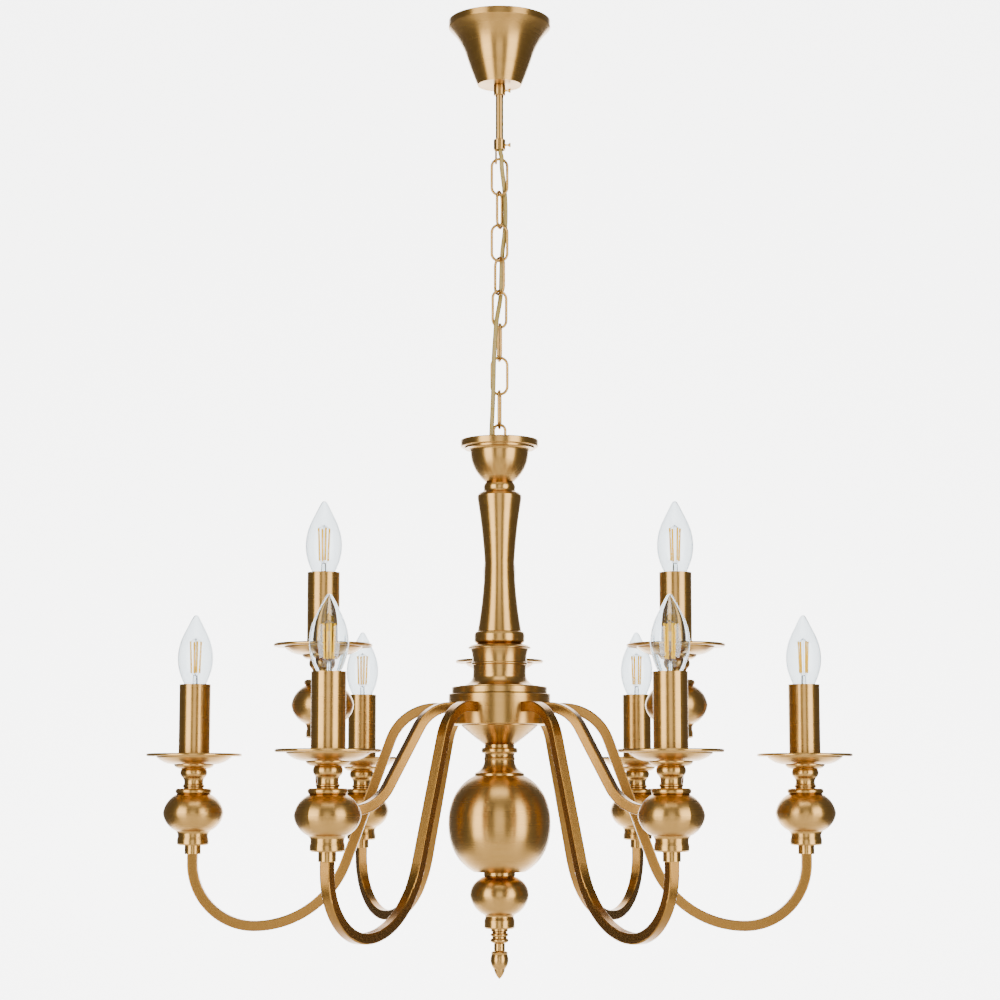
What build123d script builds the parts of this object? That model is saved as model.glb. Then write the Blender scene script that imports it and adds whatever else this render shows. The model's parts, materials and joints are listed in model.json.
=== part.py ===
from build123d import *
from math import cos, radians, sin, sqrt, tan
import os

# A nine-light chandelier in brushed brass, hung by a short chain from a ceiling bracket.
# Millimetres. Z is up, the ceiling is Z = 0, and the column's axis is the Z axis.
# Six lower arms stand every 60 degrees, and three upper arms stand between them.

# ---------------------------------------------------------------- driving dimensions

# Fits
FIT = 0.1                  # radial clearance of a bore on the threaded tube through it
SLIDE_FIT = 0.08           # radial clearance of a running fit
PLAY = 0.3                 # gap between two links, or between a lamp and its holder

# Ceiling bracket, a hat-shaped steel strap
BRACKET_WIDTH = 18.0
BRACKET_THICKNESS = 2.0
BRACKET_DROP = 24.0        # underside of the bridge, below the ceiling
BRIDGE_HALF = 20.0
FOOT_END = 42.0
SCREW_SPACING = 62.0
SCREW_HOLE_R = 2.25
TERMINAL_SIZE = (9.0, 14.0, 9.0)
TERMINAL_X = 14.0

# Drop rod and its two lock nuts
ROD_R = 3.9
ROD_BORE_R = 2.7
ROD_TOP = -16.0
ROD_END = -130.6
ROD_NUT_FLATS = 13.0
ROD_NUT_HEIGHT = 4.0

# Ceiling cover
CANOPY_R = 51.8
CANOPY_HEIGHT = 66.6
CANOPY_END_R = 22.1
CANOPY_LIP = 6.5
CANOPY_WALL = 1.2

# The collar under the canopy, the cap at the rod's end, and their thumb screws
COLLAR_R = 5.95
COLLAR_HEIGHT = 10.8
CAP_TOP = -123.2
CAP_WALL = 1.0
THUMB_DROP = 5.6           # screw axis below the collar's top face
THUMB_SHANK_R = 1.25
THUMB_HEAD_R = 2.4
THUMB_LENGTH = 7.4

# Tongue under the cap, with the eye that holds the first link
TONGUE_X = (-4.6, -2.4)
TONGUE_R = 4.4
TONGUE_EYE_R = 2.8
TONGUE_EYE_Z = -144.4

# Chain
WIRE_D = 2.8
LINK_LENGTH = 39.9
LINK_WIDTH = 18.4
CHAIN_TOP = -142.1
LINK_TURNS = (0, 72, 4, 124, 30, 100, 2, 84)   # degrees about Z, first link to last

# Flex, from the ceiling terminals down the rod, along the chain and into the column
FLEX_D = 4.6
FLEX_HOLE = (-8.0, -4.0)   # where it enters the cup's plate
FLEX_ROUTE = (
    (8.5, 0.0, -7.0), (0.0, 0.0, -8.8), (0.0, 0.0, -133.6), (2.4, -4.9, -143.0),
    (1.9, -5.1, -151.5), (4.8, 4.5, -171.0), (6.2, 4.4, -190.0), (6.0, 5.1, -214.5),
    (2.5, 5.0, -240.0), (1.8, 5.1, -264.0), (1.4, 6.2, -285.0), (-3.2, -7.0, -311.0),
    (-4.0, -6.4, -324.0), (-5.6, -4.8, -346.0), (-6.0, -4.7, -372.0), (-6.8, -4.3, -400.0),
    (-8.0, -4.0, -422.0), (-8.0, -4.0, -437.0), (0.0, 0.0, -460.0), (0.0, 0.0, -690.0),
)

# Column eye and cup
EYE_WIDTH = 14.2
EYE_FOOT = 6.5             # how far its legs reach below the plate's top
CUP_TOP = -431.0
CUP_R = 38.7
CUP_RIM = 7.0
CUP_HEIGHT = 42.4
CUP_WALL = 2.0
BOWL_R = 29.0
PLATE_R = 35.5
PLATE_THICKNESS = 3.0

# Column
TUBE_R = 5.0               # threaded tube through the whole column
TUBE_BORE_R = 3.4
TUBE_TOP_DROP = 31.0        # tube's top below the cup's top
TUBE_INTO_FINIAL = 9.4
COLUMN_NUT_FLATS = 15.0
COLUMN_NUT_HEIGHT = 5.0
STEM_LENGTH = 148.8
STEM_SHOULDER_R = 22.0
STEM_WAIST_R = 14.8
STEM_FOOT_R = 21.8
STEM_WALL = 2.5
RING_HEIGHT = 17.2
RING_R = 24.8
DISC_R = 31.0
NECK_R = 26.5
NECK_HEIGHT = 37.4
NECK_WALL = 2.5
NECK_FOOT_R = 40.5
LID_R = 47.0
LID_HEIGHT = 6.8
HUB_R = 50.1
HUB_HEIGHT = 30.4
HUB_WALL = 2.5
BASE_R = 37.4
BASE_HEIGHT = 19.4
BALL_NECK_HEIGHT = 30.4
BALL_NECK_R = 17.7
BALL_SEAT_R = 24.4
BALL_R = 50.0
BALL_HEIGHT = 93.2
BALL_FULLNESS = 2.2        # 2 would be an ellipse, and more is squarer
BALL_WALL = 2.0
BULB_R = 28.7
BULB_HEIGHT = 54.6
BULB_WALL = 2.0
FINIAL_R = 8.7
FINIAL_HEIGHT = 48.2

# Arms: square tube bent in an upright plane, with a threaded spigot into the hub
ARM_BAR = 10.0
ARM_BAR_EDGE = 1.3
ARM_BORE = 6.6
ARM_DROP = 13.9            # arm axis below the drum's top
LOWER_ANGLES = (0, 60, 120, 180, 240, 300)
UPPER_ANGLES = (90, 210, 330)
SPIGOT_R = 4.0
SPIGOT_BORE_R = 2.3
SPIGOT_LENGTH = 10.0
ARM_NUT_FLATS = 12.0
ARM_NUT_HEIGHT = 4.0
WIRES_R = 2.0              # a pair of insulated wires, as one round bundle
WIRES_START = 30.0         # distance from the column axis where the wires leave the hub

# Lower arm
LOWER_REACH = 300.0        # column axis to candle axis
LOWER_DIP = 211.5          # lowest point of the centre line, below the arm axis
LOWER_SLOPE = 70.0         # degrees below level, between shoulder and bow
LOWER_SHOULDER_R = 47.0
LOWER_BOW_R = 95.0
LOWER_RISE_R = 61.0
LOWER_RIM_RISE = -44.5     # the drip pan's rim, above the arm axis

# Upper arm
UPPER_REACH = 193.0
UPPER_DIP = 99.5
UPPER_SLOPE = 60.0
UPPER_SHOULDER_R = 40.0
UPPER_BOW_R = 45.0
UPPER_RISE_R = 31.0
UPPER_RIM_RISE = 57.5

# One light, with its heights measured from the rim of its drip pan
PAN_R = 46.8
PAN_FLANGE_R = 37.2
PAN_DEPTH = 10.6
PAN_WALL = 1.3
PAN_BEAD = 2.8
CANDLE_R = 15.4
CANDLE_WALL = 1.0
CANDLE_TOP = 67.7
SOCKET_R = 11.6
SOCKET_FOOT = 4.0
SOCKET_TOP = 61.0
NIPPLE_R = 4.0
NIPPLE_BORE_R = 2.3
NIPPLE_TOP = 12.0
SAUCER_R = 19.4
NECK_BEAD_R = 12.9
NECK_THIN_R = 9.3
HOLDER_RING_R = 17.5
HOLDER_BALL_R = 29.6
HOLDER_BALL_TOP = -39.2
HOLDER_BALL_WALL = 1.8
HOLDER_COLLAR_TOP = -77.8
HOLDER_COLLAR_R = 15.5
HOLDER_COLLAR_FOOT = -89.1
STUB_R = 7.9
STUB_FOOT = -97.8

# Lamp: a 35 mm candle lamp on a 14 mm screw cap
LAMP_TIP = 136.2
LAMP_R = 17.6
LAMP_LENGTH = 98.0
LAMP_CAP_R = 6.9
LAMP_CAP_HEIGHT = 23.0
LAMP_GLASS = 0.9
FILAMENT_R = 0.9
FILAMENT_PITCH_R = 4.8
FILAMENT_LENGTH = 32.0
FILAMENT_FOOT = 74.0
FILAMENT_MARGIN = 0.4      # plate beyond the sticks

# ---------------------------------------------------------------- heights down the column

stem_top = CUP_TOP - CUP_HEIGHT
ring_top = stem_top - STEM_LENGTH
neck_top = ring_top - RING_HEIGHT
lid_top = neck_top - NECK_HEIGHT
hub_top = lid_top - LID_HEIGHT
base_top = hub_top - HUB_HEIGHT
ball_neck_top = base_top - BASE_HEIGHT
ball_top = ball_neck_top - BALL_NECK_HEIGHT
bulb_top = ball_top - BALL_HEIGHT
finial_top = bulb_top - BULB_HEIGHT
tube_foot = finial_top - TUBE_INTO_FINIAL
arm_axis = hub_top - ARM_DROP
lower_rim = arm_axis + LOWER_RIM_RISE
upper_rim = arm_axis + UPPER_RIM_RISE

# ---------------------------------------------------------------- helpers

parts = {}


def keep(name, *shapes):
    """Keep one piece, or a group of separate like pieces, as a node."""
    solids = [s for shape in shapes for s in shape.solids()]
    parts[name] = solids[0] if len(solids) == 1 else Compound(children=solids)


def turned(*outline):
    """A piece turned on the Z axis. Each corner is (radius, height); four numbers are an arc that
    passes through the first two and ends at the last two. The outline closes with a straight line."""
    edges, here = [], outline[0]
    for corner in (*outline[1:], outline[0]):
        there = corner[-2:]
        start, end = (here[0], 0, here[1]), (there[0], 0, there[1])
        if len(corner) == 4:
            edges.append(ThreePointArc(start, (corner[0], 0, corner[1]), end))
        elif sqrt((there[0] - here[0]) ** 2 + (there[1] - here[1]) ** 2) > 1e-6:
            edges.append(Line(start, end))
        here = there
    return revolve(make_face(Wire(edges)), Axis.Z, 360)


def tube(radius, bore, bottom, top):
    """A round tube on the Z axis."""
    return turned((radius, top), (radius, bottom), (bore, bottom), (bore, top))


def hex_nut(flats, bore, height):
    """A hexagon nut that stands on the XY plane."""
    body = extrude(RegularPolygon(flats / 2, 6, major_radius=False), height)
    return body - Cylinder(bore, 3 * height)


def oval(radius, half_height, fullness, low, high):
    """Solid of revolution of |r/radius|^n + |z/half_height|^n = 1 between two heights."""
    count = 13
    curve = []
    for i in range(count):
        z = high + (low - high) * (1 - cos(radians(180) * i / (count - 1))) / 2
        r = radius * (1 - abs(z / half_height) ** fullness) ** (1 / fullness)
        curve.append((r, 0, z))
    side = Spline(*curve)
    edges = [side, Line(side @ 1, (0, 0, low)), Line((0, 0, low), (0, 0, high)),
             Line((0, 0, high), side @ 0)]
    return revolve(make_face(Wire(edges)), Axis.Z, 360)


def around(shape, angle, reach=0.0, height=0.0):
    """The shape moved out by reach and up by height, then turned about the column's axis."""
    return Rot(0, 0, angle) * Pos(reach, 0, height) * shape


# ---------------------------------------------------------------- ceiling bracket and drop rod


def ceiling_bracket():
    """Two feet against the ceiling, and a bridge below them that carries the rod."""
    t, low = BRACKET_THICKNESS, -BRACKET_DROP
    outline = Polyline(
        (-FOOT_END, 0), (-BRIDGE_HALF, 0), (-BRIDGE_HALF, low + t), (BRIDGE_HALF, low + t),
        (BRIDGE_HALF, 0), (FOOT_END, 0), (FOOT_END, -t), (BRIDGE_HALF + t, -t),
        (BRIDGE_HALF + t, low), (-BRIDGE_HALF - t, low), (-BRIDGE_HALF - t, -t),
        (-FOOT_END, -t), close=True,
    )
    strap = extrude(Plane.XZ * make_face(outline), BRACKET_WIDTH / 2, both=True)
    strap -= Pos(0, 0, low) * Cylinder(ROD_R + FIT, 4 * t)
    for side in (-1, 1):
        strap -= Pos(side * SCREW_SPACING / 2, 0, 0) * Cylinder(SCREW_HOLE_R, 4 * t)
    return strap


def terminal_block():
    """A three-way connector on the bridge, beside the rod."""
    length, width, height = TERMINAL_SIZE
    body = Box(length, width, height)
    for step in (-1, 0, 1):
        body -= Pos(0, step * width / 3, 0) * Rot(0, 90, 0) * Cylinder(height / 6, 2 * length)
    return Pos(TERMINAL_X, 0, BRACKET_THICKNESS - BRACKET_DROP + height / 2) * body


rod_nut = hex_nut(ROD_NUT_FLATS, ROD_R + FIT, ROD_NUT_HEIGHT)
keep("ceiling_bracket", ceiling_bracket())
keep("terminal_block", terminal_block())
keep("rod_nuts", Pos(0, 0, BRACKET_THICKNESS - BRACKET_DROP) * rod_nut,
     Pos(0, 0, -BRACKET_DROP - ROD_NUT_HEIGHT) * rod_nut)
keep("drop_rod", tube(ROD_R, ROD_BORE_R, ROD_END, ROD_TOP))

# ---------------------------------------------------------------- canopy, collar and cap


def canopy():
    """A spun trumpet: a straight lip against the ceiling, a flare, and a flat end round the rod."""
    w, low = CANOPY_WALL, -CANOPY_HEIGHT
    waist_r, waist_z = CANOPY_R - 17.5, low + 33.0
    hole = ROD_R + 2 * FIT
    return turned(
        (CANOPY_R, 0), (CANOPY_R, -CANOPY_LIP), (CANOPY_R - 0.9, -CANOPY_LIP - 1),
        (CANOPY_R - 11.4, -20.6, waist_r, waist_z),
        (CANOPY_END_R + 7.9, low + 20.1, CANOPY_END_R, low),
        (hole, low), (hole, low + w), (CANOPY_END_R - w, low + w),
        (CANOPY_END_R + 7.9 - w, low + 20.1 + w / 3, waist_r - w, waist_z + w / 3),
        (CANOPY_R - 11.4 - w, -20.6 + w / 2, CANOPY_R - 1.5 - w, -CANOPY_LIP - 0.4),
        (CANOPY_R - w, -CANOPY_LIP + 0.6), (CANOPY_R - w, 0),
    )


def collar(top):
    """A short ring round the rod, tapped on one side for its thumb screw."""
    ease = 0.5
    low = top - COLLAR_HEIGHT
    ring = turned(
        (COLLAR_R - ease, top), (COLLAR_R, top - ease), (COLLAR_R, low + ease), (COLLAR_R - ease, low),
        (ROD_R + SLIDE_FIT, low), (ROD_R + SLIDE_FIT, top),
    )
    return ring - screw_hole(top)


def screw_hole(top):
    """The tapped hole for a thumb screw, on the +X side."""
    hole = Cylinder(THUMB_SHANK_R + SLIDE_FIT, 2 * COLLAR_R,
                    align=(Align.CENTER, Align.CENTER, Align.MIN))
    return Pos(0, 0, top - THUMB_DROP) * Rot(0, 90, 0) * hole


def thumb_screw(top):
    """A small screw whose neck flares to a flat round head."""
    head = THUMB_LENGTH
    screw = turned(
        (0, 0), (THUMB_SHANK_R, 0), (THUMB_SHANK_R, 2.7), (1.0, 3.0), (1.0, 3.9),
        (1.35, 4.9, THUMB_HEAD_R, head - 1.2), (THUMB_HEAD_R, head - 0.3),
        (THUMB_HEAD_R - 0.3, head), (0, head),
    )
    return Pos(ROD_R + SLIDE_FIT, 0, top - THUMB_DROP) * Rot(0, 90, 0) * screw


def rod_cap():
    """The cap on the rod's end. Its skirt is open below for the flex, and a tongue with an eye
    hangs from one side of the skirt for the first link."""
    low = CAP_TOP - COLLAR_HEIGHT
    skirt = COLLAR_R - CAP_WALL
    body = turned(
        (COLLAR_R - 0.5, CAP_TOP), (COLLAR_R, CAP_TOP - 0.5), (COLLAR_R, low), (skirt, low),
        (skirt, ROD_END), (ROD_R + SLIDE_FIT, ROD_END), (ROD_R + SLIDE_FIT, CAP_TOP),
    )
    left, right = TONGUE_X
    width = right - left
    root = low + 1.4
    blade = Pos(left, 0, (root + TONGUE_EYE_Z) / 2) * Box(
        width, 2 * TONGUE_R, root - TONGUE_EYE_Z, align=(Align.MIN, Align.CENTER, Align.CENTER))
    end = Pos(left, 0, TONGUE_EYE_Z) * Rot(0, 90, 0)
    disc = end * Cylinder(TONGUE_R, width, align=(Align.CENTER, Align.CENTER, Align.MIN))
    eye = end * Cylinder(TONGUE_EYE_R, 3 * width)
    inside = Cylinder(COLLAR_R, 60).moved(Location((0, 0, low)))
    tongue = (blade + disc) & inside
    return body - screw_hole(CAP_TOP) + (tongue - eye)


keep("canopy", canopy())
keep("canopy_collar", collar(-CANOPY_HEIGHT))
keep("canopy_screw", thumb_screw(-CANOPY_HEIGHT))
keep("rod_cap", rod_cap())
keep("cap_screw", thumb_screw(CAP_TOP))

# ---------------------------------------------------------------- chain, eye and flex

link_pitch = LINK_LENGTH - 2 * WIRE_D - PLAY
bend_r = (LINK_WIDTH - WIRE_D) / 2


def chain_link():
    """A long link of round wire in the XZ plane, centred on the origin."""
    half = (LINK_LENGTH - LINK_WIDTH) / 2
    side = bend_r
    path = Wire([
        Line((side, 0, -half), (side, 0, half)),
        ThreePointArc((side, 0, half), (0, 0, half + side), (-side, 0, half)),
        Line((-side, 0, half), (-side, 0, -half)),
        ThreePointArc((-side, 0, -half), (0, 0, -half - side), (side, 0, -half)),
    ])
    return sweep(Pos(side, 0, -half) * Circle(WIRE_D / 2), path)


link = chain_link()
for number, turn in enumerate(LINK_TURNS):
    middle = CHAIN_TOP - LINK_LENGTH / 2 - number * link_pitch
    keep(f"chain_link_{number + 1}", Pos(0, 0, middle) * Rot(0, 0, turn) * link)

last_link_foot = CHAIN_TOP - LINK_LENGTH - (len(LINK_TURNS) - 1) * link_pitch
eye_side = (EYE_WIDTH - WIRE_D) / 2
eye_crown = last_link_foot + 2 * WIRE_D - WIRE_D / 2 + PLAY


def column_eye():
    """An arch of round wire whose legs pass through the cup's plate."""
    spring, foot = eye_crown - eye_side, CUP_TOP - EYE_FOOT
    path = Wire([
        Line((eye_side, 0, foot), (eye_side, 0, spring)),
        ThreePointArc((eye_side, 0, spring), (0, 0, eye_crown), (-eye_side, 0, spring)),
        Line((-eye_side, 0, spring), (-eye_side, 0, foot)),
    ])
    return sweep(Pos(eye_side, 0, foot) * Circle(WIRE_D / 2), path)


def flex():
    """One cable: straight runs joined by arcs as large as the shorter run beside each corner allows."""
    points = [Vector(*p) for p in FLEX_ROUTE]
    radii = []
    for before, corner, after in zip(points, points[1:], points[2:]):
        turn = radians((corner - before).get_angle(after - corner))
        run = min((corner - before).length, (after - corner).length)
        radii.append(0.45 * run / tan(turn / 2))
    path = FilletPolyline(*points, radius=radii)
    start = Plane(origin=path @ 0, z_dir=path % 0)
    cable = sweep(start * Circle(FLEX_D / 2), path)
    print("flex radii, mm:", [round(r, 1) for r in radii], "length", round(path.length))
    print("flex volume over section times length:",
          round(cable.volume / (3.14159265 * (FLEX_D / 2) ** 2 * path.length), 4))
    return cable


keep("column_eye", column_eye())
keep("flex", flex())

# ---------------------------------------------------------------- column, from the cup down


def cup_plate():
    """The disc that closes the cup, drilled for the eye's legs and for the flex."""
    plate = tube(PLATE_R, 0, CUP_TOP - PLATE_THICKNESS, CUP_TOP)
    for side in (-1, 1):
        hole = Cylinder(WIRE_D / 2 + SLIDE_FIT, 4 * PLATE_THICKNESS)
        plate -= Pos(side * eye_side, 0, CUP_TOP) * hole
    return plate - Pos(*FLEX_HOLE, CUP_TOP) * Cylinder(FLEX_D / 2 + PLAY, 4 * PLATE_THICKNESS)


def top_cup():
    """A deep bowl under a wide rim, with a ledge inside the rim for the plate."""
    top, low, w = CUP_TOP, CUP_TOP - CUP_HEIGHT, CUP_WALL
    rim = top - CUP_RIM
    bore = TUBE_R + FIT
    ledge = top - PLATE_THICKNESS
    return turned(
        (CUP_R, top - 0.6), (CUP_R, rim + 0.6), (CUP_R - 0.6, rim), (CUP_R - 3.4, rim - 0.3),
        (CUP_R - 3.8, rim - 2.0), (BOWL_R + 1.6, rim - 2.5, BOWL_R, rim - 5.0),
        (BOWL_R - 3.4, rim - 20.0, 13.3, low),
        (bore, low), (bore, low + w), (12.4, low + w),
        (BOWL_R - 3.4 - w, rim - 19.0, BOWL_R - w, rim - 4.0),
        (BOWL_R - w, ledge), (PLATE_R + FIT, ledge), (PLATE_R + FIT, top), (CUP_R - 0.6, top),
    )


def column_stem():
    """A waisted vase: a cove and a shoulder at the top, and a long flare to the foot."""
    top, low, w, bore = stem_top, ring_top, STEM_WALL, TUBE_R + FIT
    shoulder, waist = top - 11.0, top - 80.0
    return turned(
        (13.4, top), (15.3, top - 2.5, 15.7, top - 6.0), (16.4, top - 9.2, 20.0, shoulder),
        (STEM_SHOULDER_R, shoulder - 2.5), (STEM_SHOULDER_R - 0.2, shoulder - 6.5),
        (STEM_WAIST_R + 3.0, top - 46.0, STEM_WAIST_R, waist),
        (STEM_WAIST_R + 2.3, waist - 36.0, STEM_FOOT_R, low),
        (bore, low), (bore, low + w), (STEM_FOOT_R - w, low + w),
        (STEM_WAIST_R + 2.2 - w, waist - 36.0, STEM_WAIST_R - w, waist),
        (STEM_WAIST_R + 3.0 - w, top - 46.0, STEM_SHOULDER_R - 2.2 - w, shoulder - 7.0),
        (bore, shoulder - 7.0), (bore, top),
    )


def stem_ring():
    """A broad bead above a thin sharp disc."""
    top, low, bore = ring_top, neck_top, TUBE_R + FIT
    return turned(
        (STEM_FOOT_R + 0.4, top), (RING_R - 0.8, top - 0.8), (RING_R, top - 3.0), (RING_R, top - 8.3),
        (RING_R - 0.9, top - 10.8, RING_R - 3.0, top - 11.6), (RING_R - 1.8, top - 12.6),
        (DISC_R - 2.4, top - 14.0, DISC_R, top - 15.8), (DISC_R - 0.3, low + 0.4), (DISC_R - 1.2, low),
        (bore, low), (bore, top),
    )


def hub_neck():
    """A waisted sleeve with one thin bead, flaring out on to the lid."""
    top, low, w, bore = neck_top, lid_top, NECK_WALL, TUBE_R + FIT
    bead = top - 14.6
    return turned(
        (DISC_R - 2.4, top), (NECK_R + 0.9, top - 4.0, NECK_R + 0.2, bead + 1.5),
        (NECK_R + 1.5, bead, NECK_R + 0.1, bead - 1.5), (NECK_R - 0.3, bead - 6.0, NECK_R, low + 9.5),
        (NECK_R + 4.3, low + 3.6, NECK_FOOT_R, low + 0.8), (NECK_FOOT_R, low),
        (NECK_FOOT_R - 8.0, low), (NECK_R - w, low + 9.0), (NECK_R - w, top - w), (bore, top - w),
        (bore, top),
    )


def hub_lid():
    """The disc that closes the drum."""
    top, low, bore, ease = lid_top, hub_top, TUBE_R + FIT, 0.7
    return turned(
        (LID_R - ease, top), (LID_R, top - ease), (LID_R, low + ease), (LID_R - ease, low),
        (bore, low), (bore, top),
    )


arm_angles = (*LOWER_ANGLES, *UPPER_ANGLES)


def hub_drum():
    """An open drum with a floor, drilled through its side for the nine arm spigots."""
    top, low, w, bore, ease = hub_top, base_top, HUB_WALL, TUBE_R + FIT, 0.7
    drum = turned(
        (HUB_R - ease, top), (HUB_R, top - ease), (HUB_R, low + ease), (HUB_R - ease, low),
        (bore, low), (bore, low + w), (HUB_R - w, low + w), (HUB_R - w, top),
    )
    hole = Rot(0, 90, 0) * Cylinder(SPIGOT_R + FIT, 8 * HUB_WALL)
    for angle in arm_angles:
        drum -= around(hole, angle, HUB_R, arm_axis)
    return drum


def hub_base():
    """A shallow trumpet under the drum."""
    top, low, bore = base_top, ball_neck_top, TUBE_R + FIT
    return turned(
        (BASE_R, top), (BASE_R, top - 0.8), (BASE_R - 11.2, top - 10.6, 14.6, low), (bore, low),
        (bore, top),
    )


def ball_neck():
    """A ring, a short neck and a flared seat on the ball."""
    top, low, bore = ball_neck_top, ball_top, TUBE_R + FIT
    r = BALL_NECK_R
    return turned(
        (14.6, top), (14.6, top - 2.9), (r - 0.6, top - 3.2), (r, top - 4.6), (r, top - 6.8),
        (r - 0.7, top - 8.0),
        (r - 2.6, top - 8.5), (r - 3.2, top - 10.6, r - 2.2, top - 13.6), (r - 2.9, top - 15.4),
        (r - 0.4, top - 22.4, BALL_SEAT_R - 1.0, low + 3.0), (BALL_SEAT_R, low + 2.0),
        (BALL_SEAT_R, low),
        (bore, low), (bore, top),
    )


def ball():
    """A hollow ball, slightly fuller than a sphere, flattened at its two seats."""
    half = BALL_HEIGHT / 2
    tall = half * 1.12
    shell = oval(BALL_R, tall, BALL_FULLNESS, -half, half)
    shell -= oval(BALL_R - BALL_WALL, tall - BALL_WALL, BALL_FULLNESS, BALL_WALL - half,
                  half - BALL_WALL)
    shell -= Cylinder(TUBE_R + FIT, 2 * BALL_HEIGHT)
    return Pos(0, 0, (ball_top + bulb_top) / 2) * shell


def lower_bulb():
    """A ring, an onion bulb and a collar, turned as one hollow piece."""
    top, low, w, bore = bulb_top, finial_top, BULB_WALL, TUBE_R + FIT
    return turned(
        (15.2, top), (15.4, top - 0.6), (15.4, top - 3.6), (14.8, top - 4.4),
        (BULB_R - 4.2, top - 10.8, BULB_R, top - 22.6), (BULB_R - 3.4, top - 32.2, 14.8, top - 41.4),
        (13.9, top - 42.8), (13.9, top - 43.8), (14.9, top - 46.6), (14.9, low + 1.4), (13.6, low),
        (bore, low), (bore, low + 9.0), (12.4, low + 13.0),
        (BULB_R - 3.4 - w, top - 31.6, BULB_R - w, top - 22.6),
        (BULB_R - 4.6 - w, top - 11.8, 13.0, top - 6.4), (bore, top - 3.0), (bore, top),
    )


def finial():
    """Three thin rings, a neck and an acorn, screwed on to the end of the column tube."""
    top, r, bore = finial_top, FINIAL_R, TUBE_R + FIT
    tip, blind = top - FINIAL_HEIGHT, tube_foot - PLAY
    return turned(
        (r - 0.4, top), (r - 0.4, top - 2.2), (r - 1.6, top - 3.2), (r - 1.6, top - 4.2),
        (r, top - 5.9, r - 1.6, top - 7.6), (r - 1.6, top - 9.2),
        (r + 0.2, top - 11.2, r - 1.4, top - 13.4),
        (5.4, top - 14.4), (5.4, top - 21.0), (r - 1.4, top - 22.0), (r - 0.4, top - 23.2),
        (r - 1.0, top - 24.6),
        (r, top - 31.6, 5.5, tip + 9.4), (3.2, tip + 3.4, 0.5, tip), (0, tip),
        (0, blind), (bore, blind), (bore, top),
    )


tube_nut = hex_nut(COLUMN_NUT_FLATS, TUBE_R + FIT, COLUMN_NUT_HEIGHT)
keep("cup_plate", cup_plate())
keep("top_cup", top_cup())
keep("column_stem", column_stem())
keep("stem_ring", stem_ring())
keep("hub_neck", hub_neck())
keep("hub_lid", hub_lid())
keep("hub_drum", hub_drum())
keep("hub_base", hub_base())
keep("ball_neck", ball_neck())
keep("ball", ball())
keep("lower_bulb", lower_bulb())
keep("finial", finial())
keep("column_tube", tube(TUBE_R, TUBE_BORE_R, tube_foot, CUP_TOP - TUBE_TOP_DROP))
keep("column_nuts", Pos(0, 0, stem_top + CUP_WALL) * tube_nut,
     Pos(0, 0, base_top + HUB_WALL) * tube_nut)

# ---------------------------------------------------------------- arms


def arm_route(start, reach, dip, slope, shoulder_r, bow_r, rise_r, top):
    """The arm's centre line in the XZ plane: level out of the hub, over the shoulder, down a
    straight run, round the bow to its lowest point, and up to the light."""
    s = radians(slope)
    bow_x = reach - rise_r - bow_r * sin(s)
    bow_z = arm_axis - dip + bow_r * (1 - cos(s))
    shoulder_x = bow_x - (arm_axis - shoulder_r * (1 - cos(s)) - bow_z) / tan(s) - shoulder_r * sin(s)
    level = Line((start, arm_axis), (shoulder_x, arm_axis))
    shoulder = JernArc(level @ 1, (1, 0), shoulder_r, -slope)
    run = Line(shoulder @ 1, (bow_x, bow_z))
    bow = JernArc(run @ 1, (cos(s), -sin(s)), bow_r, slope)
    rise = JernArc(bow @ 1, (1, 0), rise_r, 90)
    upright = Line(rise @ 1, (reach, top))
    return Plane.XZ * Wire([level, shoulder, run, bow, rise, upright])


lower_shape = (LOWER_REACH, LOWER_DIP, LOWER_SLOPE, LOWER_SHOULDER_R, LOWER_BOW_R, LOWER_RISE_R)
upper_shape = (UPPER_REACH, UPPER_DIP, UPPER_SLOPE, UPPER_SHOULDER_R, UPPER_BOW_R, UPPER_RISE_R)


def arm(shape, rim):
    """A bent square tube that butts on the drum, with the round spigot that enters it."""
    start = HUB_R - 3
    across = Plane(origin=(start, 0, arm_axis), x_dir=(0, 1, 0), z_dir=(1, 0, 0))
    section = RectangleRounded(ARM_BAR, ARM_BAR, ARM_BAR_EDGE) - Rectangle(ARM_BORE, ARM_BORE)
    bar = sweep(across * section, arm_route(start, *shape, rim + STUB_FOOT))
    bar -= Pos(0, 0, arm_axis) * Cylinder(HUB_R, 2 * ARM_BAR)
    spigot = Cylinder(SPIGOT_R, SPIGOT_LENGTH + 2, align=(Align.CENTER, Align.CENTER, Align.MIN))
    spigot -= Cylinder(SPIGOT_BORE_R, 4 * SPIGOT_LENGTH)
    return bar + Pos(HUB_R - SPIGOT_LENGTH, 0, arm_axis) * Rot(0, 90, 0) * spigot


def arm_wires(shape, rim):
    """The pair of wires inside one arm, drawn as one round bundle from the hub to the lamp holder."""
    across = Plane(origin=(WIRES_START, 0, arm_axis), x_dir=(0, 1, 0), z_dir=(1, 0, 0))
    return sweep(across * Circle(WIRES_R), arm_route(WIRES_START, *shape, rim + NIPPLE_TOP))


lower_arm, upper_arm = arm(lower_shape, lower_rim), arm(upper_shape, upper_rim)
for number, angle in enumerate(LOWER_ANGLES):
    keep(f"lower_arm_{number + 1}", around(lower_arm, angle))
for number, angle in enumerate(UPPER_ANGLES):
    keep(f"upper_arm_{number + 1}", around(upper_arm, angle))

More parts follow.
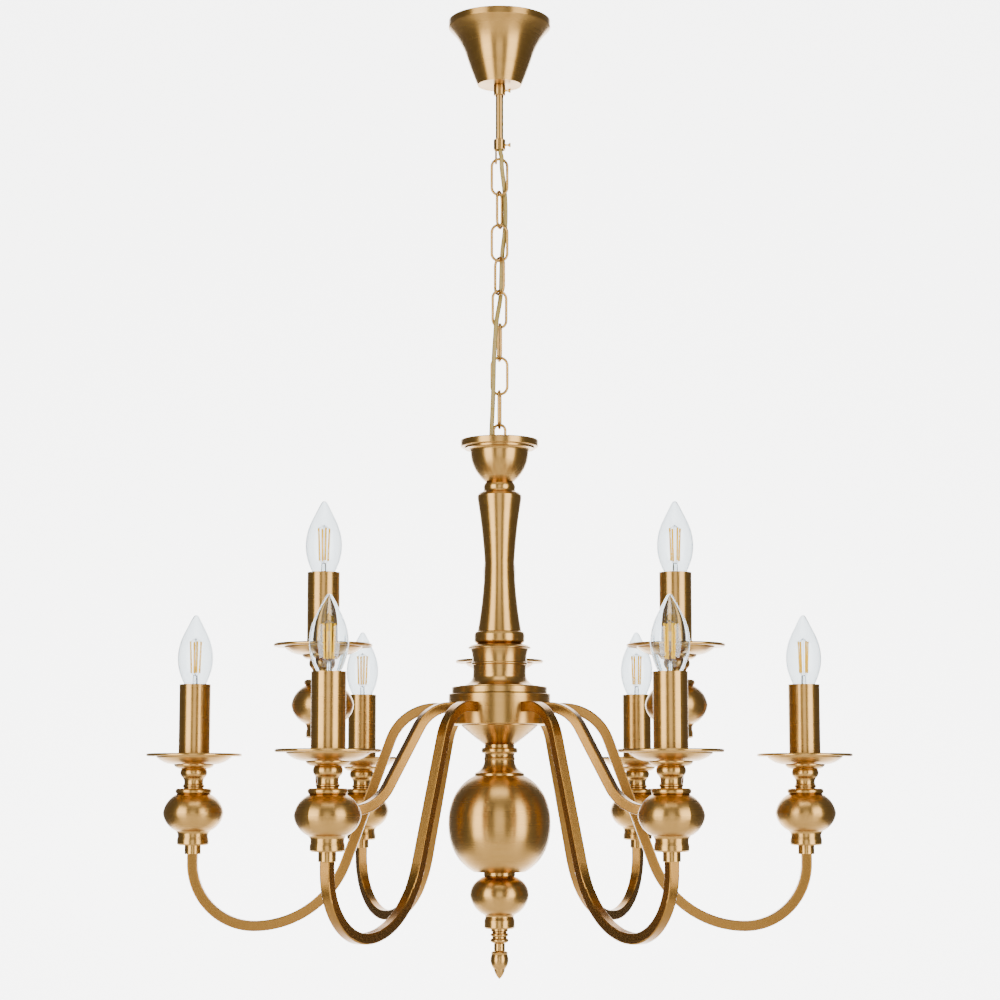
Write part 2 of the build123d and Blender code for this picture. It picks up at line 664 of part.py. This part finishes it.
arm_nut = Rot(0, 90, 0) * hex_nut(ARM_NUT_FLATS, SPIGOT_R + FIT, ARM_NUT_HEIGHT)
nut_reach = sqrt((HUB_R - HUB_WALL) ** 2 - (ARM_NUT_FLATS / sqrt(3)) ** 2) - ARM_NUT_HEIGHT
keep("arm_nuts", *[around(arm_nut, angle, nut_reach, arm_axis) for angle in arm_angles])
lower_wires, upper_wires = arm_wires(lower_shape, lower_rim), arm_wires(upper_shape, upper_rim)
keep("arm_wires", *[around(lower_wires, angle) for angle in LOWER_ANGLES],
     *[around(upper_wires, angle) for angle in UPPER_ANGLES])

# ---------------------------------------------------------------- lights

nipple_fit = NIPPLE_R + FIT
pan_floor = -PAN_DEPTH + PAN_WALL


def drip_pan():
    """A shallow dish with a wide flat flange and a thick edge."""
    f, w, low = PAN_FLANGE_R, PAN_WALL, -PAN_DEPTH
    return turned(
        (PAN_R - 0.8, 0), (PAN_R, -0.9), (PAN_R, -PAN_BEAD + 0.9), (PAN_R - 0.8, -PAN_BEAD),
        (f, -PAN_BEAD), (f - 0.8, -PAN_BEAD - 1.2), (f - 7.5, low + 2.2, f - 17.0, low),
        (nipple_fit, low), (nipple_fit, low + w), (f - 17.0, low + w),
        (f - 7.5 - w, low + 2.2 + w, f - 1.2 - w, -PAN_BEAD + w / 2), (f - 0.6, w - PAN_BEAD),
        (PAN_R - 2.6, w - PAN_BEAD), (PAN_R - 2.0, 0),
    )


def holder_neck():
    """A small saucer under the pan, a bead, a thin waist and a broad ring on the ball."""
    low, s = HOLDER_BALL_TOP, -PAN_DEPTH
    return turned(
        (SAUCER_R, s), (SAUCER_R, s - 0.9), (SAUCER_R - 2.4, s - 3.2, NECK_BEAD_R - 1.0, s - 4.2),
        (NECK_BEAD_R + 0.3, s - 8.2, NECK_BEAD_R - 1.4, s - 12.2),
        (NECK_THIN_R, s - 16.8, NECK_THIN_R + 0.5, s - 19.8),
        (NECK_THIN_R + 1.3, s - 21.2, NECK_THIN_R + 0.3, s - 22.6), (NECK_THIN_R + 0.3, low + 5.2),
        (HOLDER_RING_R - 1.2, low + 5.0), (HOLDER_RING_R + 0.2, low + 2.5, HOLDER_RING_R - 1.0, low),
        (nipple_fit, low), (nipple_fit, s),
    )


def holder_ball():
    """A hollow ball, flatter than a sphere, with a cove above its collar."""
    top, low, w = HOLDER_BALL_TOP, HOLDER_COLLAR_TOP, HOLDER_BALL_WALL
    wide = (top + low) / 2 + 0.7
    r = HOLDER_BALL_R
    return turned(
        (HOLDER_RING_R - 1.6, top), (r - 4.0, top - 8.2, r, wide),
        (r - 4.0, low + 9.6, 18.6, low + 3.4),
        (16.2, low + 1.8, 15.2, low), (nipple_fit, low), (nipple_fit, low + w), (15.2 - w, low + w),
        (r - 4.0 - w, low + 10.2, r - w, wide), (r - 4.4 - w, top - 9.0, HOLDER_RING_R - 3.0, top - w),
        (nipple_fit, top - w), (nipple_fit, top),
    )


def arm_ferrule():
    """A collar under the ball, and the stub that the arm's end is brazed to."""
    top, low, foot = HOLDER_COLLAR_TOP, HOLDER_COLLAR_FOOT, STUB_FOOT
    r = HOLDER_COLLAR_R
    return turned(
        (r - 0.6, top), (r - 0.8, top - 3.0), (r, top - 6.0), (r, low + 1.3), (r - 1.4, low),
        (STUB_R, low),
        (STUB_R, foot + 0.4), (STUB_R - 0.4, foot), (nipple_fit, foot), (nipple_fit, top),
    )


def lamp_holder():
    """The insulating cylinder that takes the lamp's screw cap."""
    floor = LAMP_TIP - LAMP_LENGTH - PLAY
    return turned(
        (SOCKET_R, SOCKET_TOP), (SOCKET_R, SOCKET_FOOT), (nipple_fit, SOCKET_FOOT),
        (nipple_fit, floor - 2),
        (2.0, floor - 2), (2.0, floor), (LAMP_CAP_R + PLAY, floor), (LAMP_CAP_R + PLAY, SOCKET_TOP),
    )


def lamp():
    """Screw cap, blown glass envelope, and the stem that carries four filament sticks."""
    foot, tip, r, g = LAMP_TIP - LAMP_LENGTH, LAMP_TIP, LAMP_R, LAMP_GLASS
    seat = foot + LAMP_CAP_HEIGHT
    cap = turned((0, foot), (3.0, foot), (LAMP_CAP_R, foot + 4.0), (LAMP_CAP_R, seat), (0, seat))
    glass = turned(
        (0, tip), (1.8, tip - 0.5, 3.5, tip - 2.6), (11.6, tip - 18.0, r, tip - 42.6),
        (15.6, tip - 55.0, 7.0, seat), (0, seat), (0, seat + g), (7.0 - g, seat + g),
        (15.6 - g, tip - 54.6, r - g, tip - 42.6), (11.6 - g, tip - 18.6, 3.0, tip - 4.2),
        (0, tip - 4.0),
    )
    stem = Pos(0, 0, seat + g) * Cylinder(2.4, FILAMENT_FOOT - seat - g,
                                          align=(Align.CENTER, Align.CENTER, Align.MIN))
    spread = FILAMENT_PITCH_R + FILAMENT_R + FILAMENT_MARGIN
    for height in (FILAMENT_FOOT, FILAMENT_FOOT + FILAMENT_LENGTH):
        stem += Pos(0, 0, height) * Cylinder(spread, 0.5)
    place = Pos(FILAMENT_PITCH_R, 0, FILAMENT_FOOT + FILAMENT_LENGTH / 2)
    stick = place * Cylinder(FILAMENT_R, FILAMENT_LENGTH)
    for quarter in range(4):
        stem += Rot(0, 0, 45 + 90 * quarter) * stick
    return cap, glass, stem


places = [(angle, LOWER_REACH, lower_rim) for angle in LOWER_ANGLES]
places += [(angle, UPPER_REACH, upper_rim) for angle in UPPER_ANGLES]
holder_pieces = {
    "drip_pans": drip_pan(),
    "holder_necks": holder_neck(),
    "holder_balls": holder_ball(),
    "arm_ferrules": arm_ferrule(),
    "candle_tubes": tube(CANDLE_R, CANDLE_R - CANDLE_WALL, pan_floor, CANDLE_TOP),
    "lamp_holders": lamp_holder(),
    "holder_nipples": tube(NIPPLE_R, NIPPLE_BORE_R, STUB_FOOT, NIPPLE_TOP),
}
for name, piece in holder_pieces.items():
    keep(name, *[around(piece, *place) for place in places])
lamp_pieces = lamp()
for number, place in enumerate(places):
    keep(f"lamp_{number + 1}", *[around(piece, *place) for piece in lamp_pieces])

# ---------------------------------------------------------------- files

os.makedirs("parts", exist_ok=True)
for name, shape in parts.items():
    export_step(shape, f"parts/{name}.step")
print(len(parts), "nodes")
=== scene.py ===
# %% [markdown]
# A nine-light brass chandelier. The hard shapes come from the CAD model, in metres, with the
# ceiling at Z = 0 and the column on the Z axis. This script gives them their brushed brass,
# blows the glass lamps, threads the flex along the chain, and sets up a plain studio.

# %% Load the CAD model
import json
import bpy
import numpy as np
from math import cos, pi, radians, sin
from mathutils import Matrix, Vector


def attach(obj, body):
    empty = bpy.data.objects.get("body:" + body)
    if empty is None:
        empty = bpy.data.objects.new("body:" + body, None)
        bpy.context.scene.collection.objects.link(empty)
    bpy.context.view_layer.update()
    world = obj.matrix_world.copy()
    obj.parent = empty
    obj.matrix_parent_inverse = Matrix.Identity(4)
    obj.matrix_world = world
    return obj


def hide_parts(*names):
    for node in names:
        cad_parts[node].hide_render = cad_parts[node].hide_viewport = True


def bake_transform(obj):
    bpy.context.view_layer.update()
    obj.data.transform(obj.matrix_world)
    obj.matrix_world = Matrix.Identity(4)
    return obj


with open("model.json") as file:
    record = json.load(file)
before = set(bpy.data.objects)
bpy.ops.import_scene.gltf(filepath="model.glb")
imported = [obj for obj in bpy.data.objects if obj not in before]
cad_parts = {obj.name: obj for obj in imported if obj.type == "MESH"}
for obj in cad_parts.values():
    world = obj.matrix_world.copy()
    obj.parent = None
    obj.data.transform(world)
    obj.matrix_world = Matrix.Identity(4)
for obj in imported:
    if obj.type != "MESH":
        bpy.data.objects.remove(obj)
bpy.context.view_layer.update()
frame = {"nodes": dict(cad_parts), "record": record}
MM = 0.001
nodes = frame["nodes"]

# %% [markdown]
# The camera stands about 2.4 m in front of the column, a little below the hub, and looks up
# by seven degrees with a long lens, so the circles of the pans show as thin ellipses.

# %% Camera
scene = bpy.context.scene
camera = bpy.data.objects.new("camera", bpy.data.cameras.new("camera"))
camera.location = (0, -2.371, -0.778)
camera.rotation_euler = (radians(90 + 6.9), 0, 0)
camera.data.lens = 86.4
camera.data.sensor_width = 36
camera.data.shift_x = 0.0005
scene.collection.objects.link(camera)
scene.camera = camera

# %% [markdown]
# Two broad soft boxes stand left and right in front of the fitting, with a weaker one straight
# in front and one above. Turned metal shows them as upright bright bands, with dark lines where
# the room is dim.

# %% Studio


def linear(hex_colour):
    """The linear RGBA of an sRGB hex colour such as B08850."""
    srgb = np.array([int(hex_colour[i:i + 2], 16) for i in (0, 2, 4)]) / 255
    value = np.where(srgb <= 0.04045, srgb / 12.92, ((srgb + 0.055) / 1.055) ** 2.4)
    return (*value.tolist(), 1.0)


def soft_box(name, place, target, width, height, power):
    """A white rectangular area light that faces a point."""
    light = bpy.data.lights.new(name, "AREA")
    light.shape = "RECTANGLE"
    light.size = width
    light.size_y = height
    light.energy = power
    holder = bpy.data.objects.new(name, light)
    holder.location = place
    facing = Vector(target) - Vector(place)
    holder.rotation_euler = facing.to_track_quat("-Z", "Y").to_euler()
    scene.collection.objects.link(holder)


def mesh_object(name, vertices, faces, material):
    """A mesh object at the origin from arrays of points and faces."""
    mesh = bpy.data.meshes.new(name)
    mesh.from_pydata(np.asarray(vertices).tolist(), [], np.asarray(faces).tolist())
    mesh.shade_smooth()
    mesh.materials.append(material)
    thing = bpy.data.objects.new(name, mesh)
    scene.collection.objects.link(thing)
    return thing


middle = (0, 0, -0.6)
soft_box("left_box", (-1.7, -1.7, -0.5), middle, 1.4, 2.6, 84)
soft_box("right_box", (1.7, -1.7, -0.5), middle, 1.4, 2.6, 84)
soft_box("front_box", (0, -3.3, -0.5), middle, 1.3, 2.4, 24)
soft_box("top_box", (0, -1.2, 1.6), middle, 1.6, 0.9, 25)
world = bpy.data.worlds.new("studio")
scene.world = world
world.use_nodes = True
world.node_tree.nodes["Background"].inputs["Color"].default_value = linear("D8D6D2")
world.node_tree.nodes["Background"].inputs["Strength"].default_value = 0.34

# %% [markdown]
# The floor is pale and runs up into a backdrop in one smooth sweep.

# %% Floor and backdrop


def paper_material():
    """Matt white studio paper, which glows as if lit from behind, and more so at the back."""
    paper = bpy.data.materials.new("studio_paper")
    paper.use_nodes = True
    shader = paper.node_tree.nodes["Principled BSDF"]
    shader.inputs["Base Color"].default_value = linear("F4F3F1")
    shader.inputs["Roughness"].default_value = 0.9
    shader.inputs["Emission Color"].default_value = linear("FFFFFF")
    place = paper.node_tree.nodes.new("ShaderNodeTexCoord")
    split = paper.node_tree.nodes.new("ShaderNodeSeparateXYZ")
    glow = paper.node_tree.nodes.new("ShaderNodeMapRange")
    paper.node_tree.links.new(place.outputs["Object"], split.inputs[0])
    paper.node_tree.links.new(split.outputs["Y"], glow.inputs["Value"])
    for socket, value in (("From Min", 0.0), ("From Max", 2.0), ("To Min", 0.1), ("To Max", 5.0)):
        glow.inputs[socket].default_value = value
    paper.node_tree.links.new(glow.outputs[0], shader.inputs["Emission Strength"])
    return paper


FLOOR_HEIGHT = -1.9
HALF_WIDTH = 1.5
BEND = 1.0           # radius of the sweep from floor to backdrop
BEND_START = 2.2     # how far behind the column the sweep starts
FRONT_EDGE = -6
BACK_HEIGHT = 5.5


def backdrop():
    """A sheet that is level in front, bends by a quarter circle and rises behind."""
    turn = np.linspace(0, pi / 2, 24)
    along = np.concatenate([[FRONT_EDGE], BEND_START + BEND * np.sin(turn), [BEND_START + BEND]])
    height = np.concatenate([[0], BEND * (1 - np.cos(turn)), [BACK_HEIGHT]]) + FLOOR_HEIGHT
    left = np.stack([np.full_like(along, -HALF_WIDTH), along, height], 1)
    right = left * [-1, 1, 1]
    rows = len(along)
    i = np.arange(rows - 1)
    faces = np.stack([i, i + rows, i + rows + 1, i + 1], 1)
    sheet = mesh_object("studio_floor", np.concatenate([left, right]), faces, paper_material())


backdrop()

# %% [markdown]
# Every metal shares one recipe. Turning leaves fine lines round the axis, so the noise is
# stretched level and squeezed along Z, and the highlight is drawn out along the axis.

# %% Materials


def add_node(tree, kind, inputs=None, **settings):
    """Add a shader node, set its properties, and link or set each named input."""
    node = tree.nodes.new(kind)
    for key, value in settings.items():
        setattr(node, key, value)
    for key, value in (inputs or {}).items():
        if isinstance(value, bpy.types.NodeSocket):
            tree.links.new(value, node.inputs[key])
        else:
            node.inputs[key].default_value = value
    return node


def new_material(name):
    """An empty node material, its tree and its Principled shader."""
    material = bpy.data.materials.new(name)
    material.use_nodes = True
    tree = material.node_tree
    return material, tree, tree.nodes["Principled BSDF"]


def turned_metal(name, light, dark, roughness, spread=0.6, lines=0.35, streaks=True):
    """Metal finished on a lathe. light and dark are the ends of its colour, lines is the strength
    of the tool marks, and spread is how far the highlight is drawn out along the axis. Without
    streaks, as on drawn bar, the grain is even all ways."""
    material, tree, shader = new_material(name)
    place = add_node(tree, "ShaderNodeTexCoord").outputs["Object"]
    fine_mm, broad_mm = 0.5, 5.0
    up_fine, up_broad = 1 / (fine_mm * MM), 1 / (broad_mm * MM)
    level_fine, level_broad = (6, 25) if streaks else (up_fine, up_broad)
    stretched = add_node(tree, "ShaderNodeMapping",
                         {"Vector": place, "Scale": (level_fine, level_fine, up_fine)})
    fine = add_node(tree, "ShaderNodeTexNoise",
                    {"Vector": stretched.outputs[0], "Scale": 1.0, "Detail": 3.0})
    wide = add_node(tree, "ShaderNodeMapping",
                    {"Vector": place, "Scale": (level_broad, level_broad, up_broad)})
    broad = add_node(tree, "ShaderNodeTexNoise",
                     {"Vector": wide.outputs[0], "Scale": 1.0, "Detail": 4.0})
    tone = add_node(tree, "ShaderNodeMixRGB",
                    {"Fac": broad.outputs["Fac"], "Color1": linear(dark), "Color2": linear(light)})
    rough = add_node(tree, "ShaderNodeMapRange",
                     {"Value": fine.outputs["Fac"], "To Min": roughness - 0.02,
                      "To Max": roughness + 0.02})
    marks = add_node(tree, "ShaderNodeBump",
                     {"Height": fine.outputs["Fac"], "Strength": lines, "Distance": 0.02 * MM})
    # The lines run level and square to the surface normal. A little of the position keeps their
    # direction defined on level faces, where the normal alone gives none.
    normal = add_node(tree, "ShaderNodeNewGeometry").outputs["Normal"]
    outward = add_node(tree, "ShaderNodeVectorMath", {0: place, 1: (0.6, 0.6, 0.6), 2: normal},
                       operation="MULTIPLY_ADD")
    level = add_node(tree, "ShaderNodeVectorMath", {0: (0, 0, 1), 1: outward.outputs[0]},
                     operation="CROSS_PRODUCT")
    tree.links.new(tone.outputs[0], shader.inputs["Base Color"])
    tree.links.new(rough.outputs[0], shader.inputs["Roughness"])
    tree.links.new(marks.outputs[0], shader.inputs["Normal"])
    tree.links.new(level.outputs[0], shader.inputs["Tangent"])
    shader.inputs["Metallic"].default_value = 1.0
    shader.inputs["Anisotropic"].default_value = spread
    shader.inputs["Anisotropic Rotation"].default_value = 0.25
    return material


def plain_material(name, colour, roughness, metallic=0.0, grain_mm=1.0, grain=0.15):
    """A moulded or plated surface with a faint grain."""
    material, tree, shader = new_material(name)
    place = add_node(tree, "ShaderNodeTexCoord").outputs["Object"]
    noise = add_node(tree, "ShaderNodeTexNoise",
                     {"Vector": place, "Scale": 1 / (grain_mm * MM), "Detail": 3.0})
    rough = add_node(tree, "ShaderNodeMapRange",
                     {"Value": noise.outputs["Fac"], "To Min": roughness - 0.08,
                      "To Max": roughness + 0.08})
    bump = add_node(tree, "ShaderNodeBump", {"Height": noise.outputs["Fac"], "Strength": grain,
                                             "Distance": 0.05 * MM})
    tree.links.new(rough.outputs[0], shader.inputs["Roughness"])
    tree.links.new(bump.outputs[0], shader.inputs["Normal"])
    shader.inputs["Base Color"].default_value = linear(colour)
    shader.inputs["Metallic"].default_value = metallic
    return material


def clear_glass():
    """Clear blown lamp glass, smooth and thin. It bends the light a little and shows its gloss."""
    material, tree, shader = new_material("lamp_glass")
    shader.inputs["Base Color"].default_value = linear("DCE1E4")
    shader.inputs["Roughness"].default_value = 0.02
    shader.inputs["Transmission Weight"].default_value = 1.0
    shader.inputs["IOR"].default_value = 1.45
    return material


brass = turned_metal("brushed_brass", "B48C4E", "A67E42", 0.28, lines=0.06)
bar_brass = turned_metal("drawn_brass", "966E36", "88622E", 0.27, spread=0.0, lines=0.0,
                         streaks=False)
bright_brass = turned_metal("polished_brass", "E4C070", "D8B058", 0.16, spread=0.2, lines=0.1)
zinc = plain_material("zinc_plate", "B8BABC", 0.35, metallic=1.0)
white_plastic = plain_material("terminal_plastic", "E8E6E0", 0.5)
black_plastic = plain_material("holder_plastic", "17171A", 0.55)
sheath = plain_material("flex_sheath", "8A7434", 0.45, grain_mm=0.8, grain=0.25)
silicone = plain_material("wire_insulation", "E0DCD0", 0.5)
glass = clear_glass()
filament = plain_material("filament_phosphor_painted_glow", "F0B420", 0.5, grain_mm=0.5)
filament_shader = filament.node_tree.nodes["Principled BSDF"]
# The lamps are not lit. The yellow base is the phosphor's own colour, and the weak emission is a
# painted glow that makes the filaments read bright amber.
filament_shader.inputs["Emission Color"].default_value = linear("FFC000")
filament_shader.inputs["Emission Strength"].default_value = 1.3
steel_wire = plain_material("support_wire", "A8A8A8", 0.3, metallic=1.0)
by_slot = {"antique_brass": brass, "bright_brass": bright_brass, "zinc_steel": zinc,
           "white_plastic": white_plastic, "black_plastic": black_plastic, "gold_flex": sheath,
           "wire_insulation": silicone, "lamp_glass": glass}

# %% Give each CAD node its material
slot_of = {part["node"]: part["material_slot"] for part in frame["record"]["subparts"]}
for name, node in nodes.items():
    is_arm = name.startswith(("lower_arm_", "upper_arm_"))
    material = bar_brass if is_arm else by_slot[slot_of[name]]
    for place in node.material_slots:
        place.material = material
print(len(nodes), "CAD nodes have materials")

# %% [markdown]
# Turned shapes come from a few points of their outline, with a smooth curve through them.

# %% Shapes


def smooth_line(points, count):
    """Points evenly spread along a Catmull-Rom curve through the given points."""
    p = np.asarray(points, float)
    p = np.concatenate([[2 * p[0] - p[1]], p, [2 * p[-1] - p[-2]]])
    t = np.linspace(0, len(points) - 1, count)
    i = np.minimum(t.astype(int), len(points) - 2)
    u = (t - i)[:, None]
    a, b, c, d = p[i], p[i + 1], p[i + 2], p[i + 3]
    return 0.5 * (2 * b + (c - a) * u + (2 * a - 5 * b + 4 * c - d) * u ** 2
                  + (3 * b - a - 3 * c + d) * u ** 3)


def lathe(outline, segments=64):
    """Vertices and faces of a closed outline of (radius, height) turned about Z. A radius of zero
    is a pole. The outline runs so that its outside is on the right."""
    outline = np.asarray(outline, float)
    turn = np.linspace(0, 2 * pi, segments, endpoint=False)
    r, z = outline[:, 0], outline[:, 1]
    ring = np.stack([np.outer(r, np.cos(turn)), np.outer(r, np.sin(turn)),
                     np.outer(z, np.ones(segments))], 2)
    rows = len(outline)
    i, j = np.meshgrid(np.arange(rows), np.arange(segments), indexing="ij")
    down, beside = (i + 1) % rows, (j + 1) % segments
    faces = np.stack([i * segments + j, down * segments + j, down * segments + beside,
                      i * segments + beside], 2)
    return ring.reshape(-1, 3), faces.reshape(-1, 4)


def tidy(thing):
    """Merge the points at each pole and turn every face outward."""
    import bmesh
    work = bmesh.new()
    work.from_mesh(thing.data)
    bmesh.ops.remove_doubles(work, verts=work.verts, dist=1e-6)
    bmesh.ops.dissolve_degenerate(work, dist=1e-7, edges=work.edges)
    bmesh.ops.recalc_face_normals(work, faces=work.faces)
    work.to_mesh(thing.data)
    work.free()
    thing.data.shade_smooth()
    return thing


# %% [markdown]
# Each lamp is a clear candle bulb: a glass envelope, a flared glass stem, four filament sticks
# in a square with crossed support wires, and a screw cap inside the lamp holder.

# %% Lamps
TIP = 136.2          # heights in millimetres above the rim of the light's drip pan
SEAT = 61.2
CAP_FOOT = 38.2
FILAMENT_ANGLES = [radians(22 + 90 * k) for k in range(4)]
ENVELOPE = ((0.0, 0.0), (1.7, -0.5), (3.3, -2.6), (7.4, -10.5), (13.3, -22.5), (16.4, -32.5),
            (17.5, -42.6), (16.4, -53.0), (13.2, -63.0), (9.8, -70.0), (7.0, -75.0))
GLASS_WALL = 0.4


def envelope():
    """The glass skin, 0.4 mm thick, closed at its foot."""
    outer = smooth_line(ENVELOPE, 60)
    inner = [(max(r - GLASS_WALL, 0), z - (0.5 if r < 4 else 0)) for r, z in ENVELOPE]
    inner = smooth_line(inner, 60)[::-1]
    return lathe(np.concatenate([outer, inner]) + [0, TIP])


def glass_stem():
    """The flared stem that carries the filaments."""
    side = smooth_line([(6.0, SEAT + 0.3), (4.2, SEAT + 2.5), (2.6, SEAT + 6.0), (2.2, 76.0),
                        (0.0, 77.0)], 20)
    return lathe(np.concatenate([[(0, SEAT + 0.3)], side]), 32)


def screw_cap():
    """The metal cap, with a rolled thread and an insulated foot."""
    t = np.linspace(0, 1, 80)
    thread = np.stack([6.5 + 0.35 * np.cos(2 * pi * 5 * t), 44.5 + 14.5 * t], 1)
    outline = [(0, CAP_FOOT), (2.2, CAP_FOOT), (3.2, CAP_FOOT + 2.0), (5.8, 43.8), *thread,
               (6.9, 60.2), (6.9, SEAT), (0, SEAT)]
    return lathe(outline, 48)


def stick(start, end, radius, sides=12):
    """A thin round rod between two points, with closed ends."""
    start, end = np.asarray(start, float), np.asarray(end, float)
    along = (end - start) / np.linalg.norm(end - start)
    side = np.cross(along, (0.31, 0.87, 0.38))
    side /= np.linalg.norm(side)
    other = np.cross(along, side)
    turn = np.linspace(0, 2 * pi, sides, endpoint=False)
    ring = radius * (np.outer(np.cos(turn), side) + np.outer(np.sin(turn), other))
    i = np.arange(sides)
    j = (i + 1) % sides
    low, high = np.full(sides, 2 * sides), np.full(sides, 2 * sides + 1)
    walls = np.concatenate([np.stack([i, j, j + sides], 1), np.stack([i, j + sides, i + sides], 1)])
    ends = np.concatenate([np.stack([j, i, low], 1), np.stack([i + sides, j + sides, high], 1)])
    points = np.concatenate([start + ring, end + ring, [start, end]])
    return points, np.concatenate([walls, ends])


def joined(shapes):
    """Several triangle meshes as one."""
    points, faces, count = [], [], 0
    for vertices, triangles in shapes:
        points.append(vertices)
        faces.append(triangles + count)
        count += len(vertices)
    return np.concatenate(points), np.concatenate(faces)


def filaments():
    """Four straight sticks, leaning out a little towards the top."""
    corners = [(cos(a), sin(a)) for a in FILAMENT_ANGLES]
    return joined([stick((4.2 * x, 4.2 * y, 79), (5.4 * x, 5.4 * y, 110), 0.95)
                   for x, y in corners])


def supports():
    """Bent wires from the stem to each stick's foot, and a cross that ties their tops."""
    rods = []
    for angle in FILAMENT_ANGLES:
        x, y = cos(angle), sin(angle)
        rods.append(stick((1.2 * x, 1.2 * y, 76), (4.2 * x, 4.2 * y, 79.2), 0.22, 8))
        rods.append(stick((5.4 * x, 5.4 * y, 109.6), (0, 0, 113.0), 0.2, 8))
    rods.append(stick((0, 0, 76), (0, 0, 113), 0.22, 8))
    return joined(rods)


lamp_shapes = {
    "glass": (envelope(), glass, "lamp_glass"),
    "stem": (glass_stem(), glass, "lamp_glass"),
    "cap": (screw_cap(), bright_brass, "bright_brass"),
    "filaments": (filaments(), filament, "bright_brass"),
    "supports": (supports(), steel_wire, "zinc_steel"),
}
lights = [(60 * k, 300, -742) for k in range(6)] + [(90 + 120 * k, 193, -640) for k in range(3)]
for number, (angle, reach, rim) in enumerate(lights, 1):
    turn = radians(angle)
    centre = np.array([reach * cos(turn), reach * sin(turn), rim])
    for part, ((points, faces), material, finish) in lamp_shapes.items():
        piece = tidy(mesh_object(f"lamp_{number}_{part}", (points + centre) * MM, faces, material))
        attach(piece, f"bulb_{number}")
        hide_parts(f"lamp_{number}")
print("lamps done")

# %% [markdown]
# The flex leaves the rod, weaves through the chain beside each link and enters the cup. It is
# one smooth line, cut at the middle of each link into separate stretches.

# %% Flex
FLEX_RADIUS = 2.3
FLEX_ROUTE = (
    (8.5, 0.0, -7.0), (0.0, 0.0, -8.8), (0.0, 0.0, -133.6), (2.4, -4.9, -143.0),
    (1.9, -5.1, -151.5), (4.8, 4.5, -171.0), (6.2, 4.4, -190.0), (6.0, 5.1, -214.5),
    (2.5, 5.0, -240.0), (1.8, 5.1, -264.0), (1.4, 6.2, -285.0), (-3.2, -7.0, -311.0),
    (-4.0, -6.4, -324.0), (-5.6, -4.8, -346.0), (-6.0, -4.7, -372.0), (-6.8, -4.3, -400.0),
    (-8.0, -4.0, -422.0), (-8.0, -4.0, -437.0), (0.0, 0.0, -460.0), (0.0, 0.0, -690.0),
)
LINK_PITCH = 34.0
LINK_MIDDLE = -162.05    # the first link's centre


def flex_line():
    """The smooth centre line through the route, as points in millimetres."""
    curve = bpy.data.curves.new("flex_route", "CURVE")
    curve.dimensions = "3D"
    curve.resolution_u = 24
    spline = curve.splines.new("NURBS")
    spline.points.add(len(FLEX_ROUTE) - 1)
    spline.points.foreach_set("co", [v for x, y, z in FLEX_ROUTE for v in (x, y, z, 1)])
    spline.order_u = 3
    spline.use_endpoint_u = True
    holder = bpy.data.objects.new("flex_route", curve)
    mesh = bpy.data.meshes.new_from_object(holder)
    points = np.empty(len(mesh.vertices) * 3)
    mesh.vertices.foreach_get("co", points)
    bpy.data.objects.remove(holder)
    return points.reshape(-1, 3)


def tube_along(line, radius, sides=20):
    """A round tube that follows a line of points, with closed ends. Its rings are carried along
    without twisting: each is built on a level direction that is never along the line."""
    step = np.gradient(line, axis=0)
    along = step / np.linalg.norm(step, axis=1)[:, None]
    side = np.cross(along, (0, 1, 0))
    side /= np.linalg.norm(side, axis=1)[:, None]
    other = np.cross(along, side)
    turn = np.linspace(0, 2 * pi, sides, endpoint=False)[None, :, None]
    rings = line[:, None] + radius * (np.cos(turn) * side[:, None] + np.sin(turn) * other[:, None])
    rows = len(line)
    i, j = np.meshgrid(np.arange(rows - 1), np.arange(sides), indexing="ij")
    k = (j + 1) % sides
    walls = np.stack([i * sides + j, (i + 1) * sides + j, (i + 1) * sides + k, i * sides + k], 2)
    ends = [list(range(sides)), list(range((rows - 1) * sides, rows * sides))]
    return rings.reshape(-1, 3), walls.reshape(-1, 4).tolist() + ends


def even_heights(line, heights):
    """The line's points at the given heights, for a line that only goes down."""
    order = np.argsort(line[:, 2])
    level = [np.interp(heights, line[order, 2], line[order, axis]) for axis in (0, 1)]
    return np.stack([*level, heights], 1)


route = flex_line()
middles = [LINK_MIDDLE - k * LINK_PITCH for k in range(8)]
cuts = [-126.0, *middles, -470.0]
for number, (upper, lower) in enumerate(zip(cuts, cuts[1:])):
    stretch = even_heights(route, np.linspace(upper, lower, 40))
    vertices, faces = tube_along(stretch, FLEX_RADIUS)
    mesh = bpy.data.meshes.new(f"flex_{number + 1}")
    mesh.from_pydata((vertices * MM).tolist(), [], faces)
    mesh.materials.append(sheath)
    piece = bpy.data.objects.new(f"flex_{number + 1}", mesh)
    scene.collection.objects.link(piece)
    tidy(piece)
    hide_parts("flex")
    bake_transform(piece)
print("flex in", len(cuts) - 1, "stretches")
